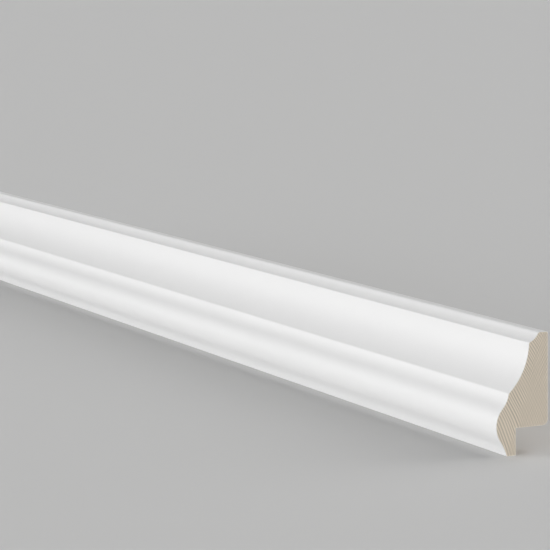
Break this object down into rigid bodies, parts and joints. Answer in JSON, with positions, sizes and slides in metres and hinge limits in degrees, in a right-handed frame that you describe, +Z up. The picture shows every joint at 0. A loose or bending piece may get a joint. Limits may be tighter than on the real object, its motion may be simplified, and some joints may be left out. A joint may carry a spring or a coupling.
{
  "type": "dado rail",
  "caption": "White painted timber dado rail with a cove-and-ogee moulded face, square-cut ends and a rebated lower back that caps a wall panel.",
  "frame": {"origin": "on the flat back face, at mid-length and mid-height of the rail", "axes": "+X along the rail, +Y out of the back face into the wall (the moulded face looks along -Y), +Z up as it is fixed"},
  "size_m": [0.85, 0.028, 0.058],
  "materials": {
    "painted_timber": "satin"
  },
  "bodies": {
    "root": {"dado_rail": "painted_timber"}
  },
  "joints": []
}
